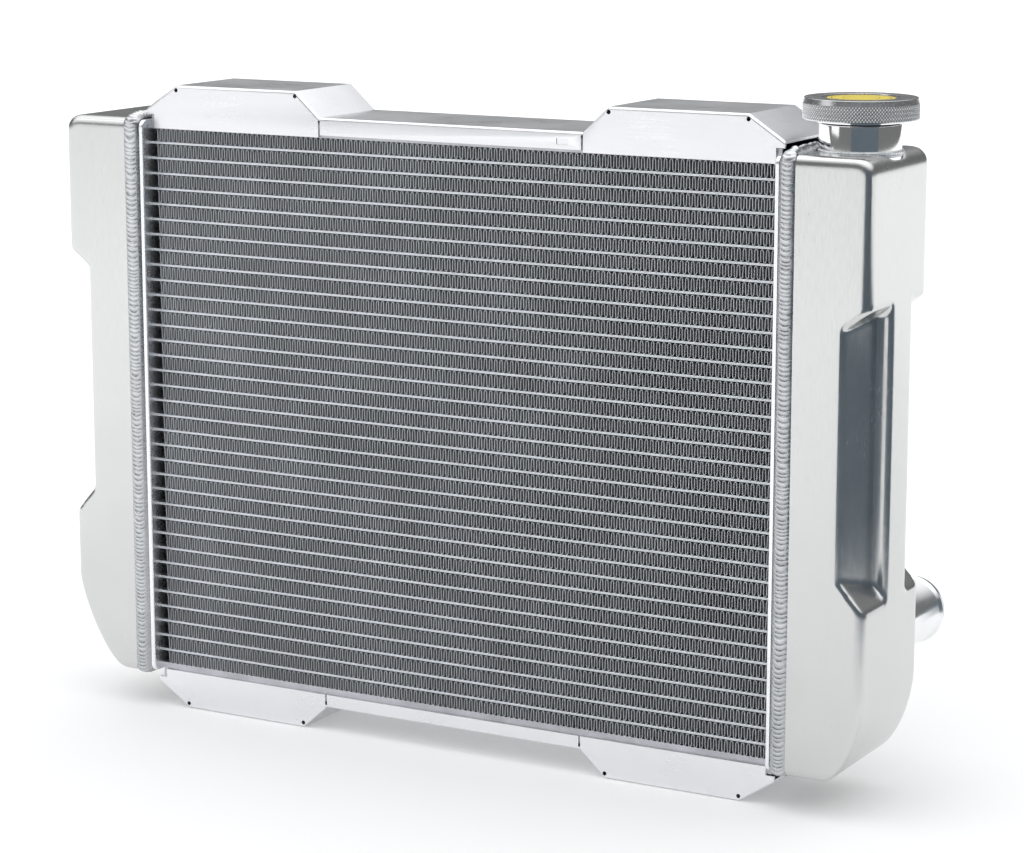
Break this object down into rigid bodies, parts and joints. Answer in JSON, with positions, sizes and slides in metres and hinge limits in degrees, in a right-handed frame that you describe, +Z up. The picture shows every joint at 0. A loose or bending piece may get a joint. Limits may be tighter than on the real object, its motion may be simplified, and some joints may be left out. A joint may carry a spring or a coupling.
{
  "type": "car radiator",
  "caption": "Crossflow aluminium car radiator with two side tanks, brazed tube-and-fin core, hat-section mounts, hose necks, drain cock and bayonet pressure cap.",
  "frame": {"origin": "centre of the bounding box in X and Y, on the plane of the two bottom mount hats", "axes": "+X across the core towards the filler cap, +Y from the front face to the hose necks, +Z up"},
  "size_m": [0.6342, 0.1622, 0.4675],
  "materials": {
    "formed_tank": "satin formed sheet, soft polish",
    "fin_sheet": "mill finish, blue-grey",
    "tube_sheet": "bright brazed edge",
    "header_sheet": "satin",
    "side_sheet": "mill finish",
    "mount_sheet": "pale brushed sheet",
    "weld_bead": "rippled bright weld",
    "polished_neck": "mirror-turned billet",
    "machined_cap": "knurled rim, satin top",
    "cap_disc": "plain yellow disc",
    "seal_rubber": "matte black",
    "drain_brass": "dull dark brass",
    "cap_brass": "turned",
    "spring_steel": "drawn wire"
  },
  "bodies": {
    "radiator": {"front_row_tubes": "tube_sheet", "rear_row_tubes": "tube_sheet", "lower_fins": "fin_sheet", "upper_fins": "fin_sheet", "top_side_plate": "side_sheet", "bottom_side_plate": "side_sheet", "left_header_plate": "header_sheet", "right_header_plate": "header_sheet", "left_tank": "formed_tank", "right_tank": "formed_tank", "left_tank_weld": "weld_bead", "right_tank_weld": "weld_bead", "top_mount_channel": "mount_sheet", "bottom_mount_channel": "mount_sheet", "top_mount_welds": "weld_bead", "bottom_mount_welds": "weld_bead", "filler_neck": "polished_neck", "filler_neck_weld": "weld_bead", "overflow_nipple": "header_sheet", "inlet_neck": "header_sheet", "inlet_neck_weld": "weld_bead", "outlet_neck": "header_sheet", "outlet_neck_weld": "weld_bead", "drain_bung": "header_sheet", "drain_bung_weld": "weld_bead", "drain_cock_body": "drain_brass"},
    "cap_centre": {"cap_guide_stem": "cap_brass", "pressure_spring": "spring_steel"},
    "cap_turning": {"cap_knob": "machined_cap", "cap_label": "cap_disc", "cap_bayonet": "polished_neck", "cap_gasket": "seal_rubber"},
    "relief_valve": {"pressure_valve": "cap_brass", "pressure_seal": "seal_rubber"},
    "vacuum_poppet": {"vacuum_valve": "cap_brass"},
    "drain_tip": {"drain_seal": "seal_rubber"},
    "drain_screw": {"drain_stem": "drain_brass"}
  },
  "joints": [
    {"name": "cap_lift", "type": "slide", "parent": "radiator", "child": "cap_centre", "axis": [0, 0, 1], "range_m": [0, 0.04]},
    {"name": "cap_turn", "type": "hinge", "parent": "cap_centre", "child": "cap_turning", "pos_m": [0.27985, -0.03145, 0.4535], "axis": [0, 0, -1], "range_deg": [0, 90]},
    {"name": "relief_slide", "type": "slide", "parent": "cap_centre", "child": "relief_valve", "axis": [0, 0, 1], "range_m": [0, 0.003], "stiffness_N_per_m": 8000, "springref_m": -0.006, "deforming": ["pressure_spring"]},
    {"name": "vacuum_slide", "type": "slide", "parent": "relief_valve", "child": "vacuum_poppet", "axis": [0, 0, -1], "range_m": [0, 0.0011], "stiffness_N_per_m": 60, "springref_m": -0.003},
    {"name": "drain_slide", "type": "slide", "parent": "radiator", "child": "drain_tip", "axis": [0, 1, 0], "range_m": [0, 0.004]},
    {"name": "drain_turn", "type": "hinge", "parent": "drain_tip", "child": "drain_screw", "pos_m": [0.28185, 0.03855, 0.054], "axis": [0, 1, 0], "range_deg": [0, 1153]}
  ],
  "couplings": [
    {"joint": "drain_turn", "follows": "drain_slide", "rad_per_m": 5026.5}
  ]
}
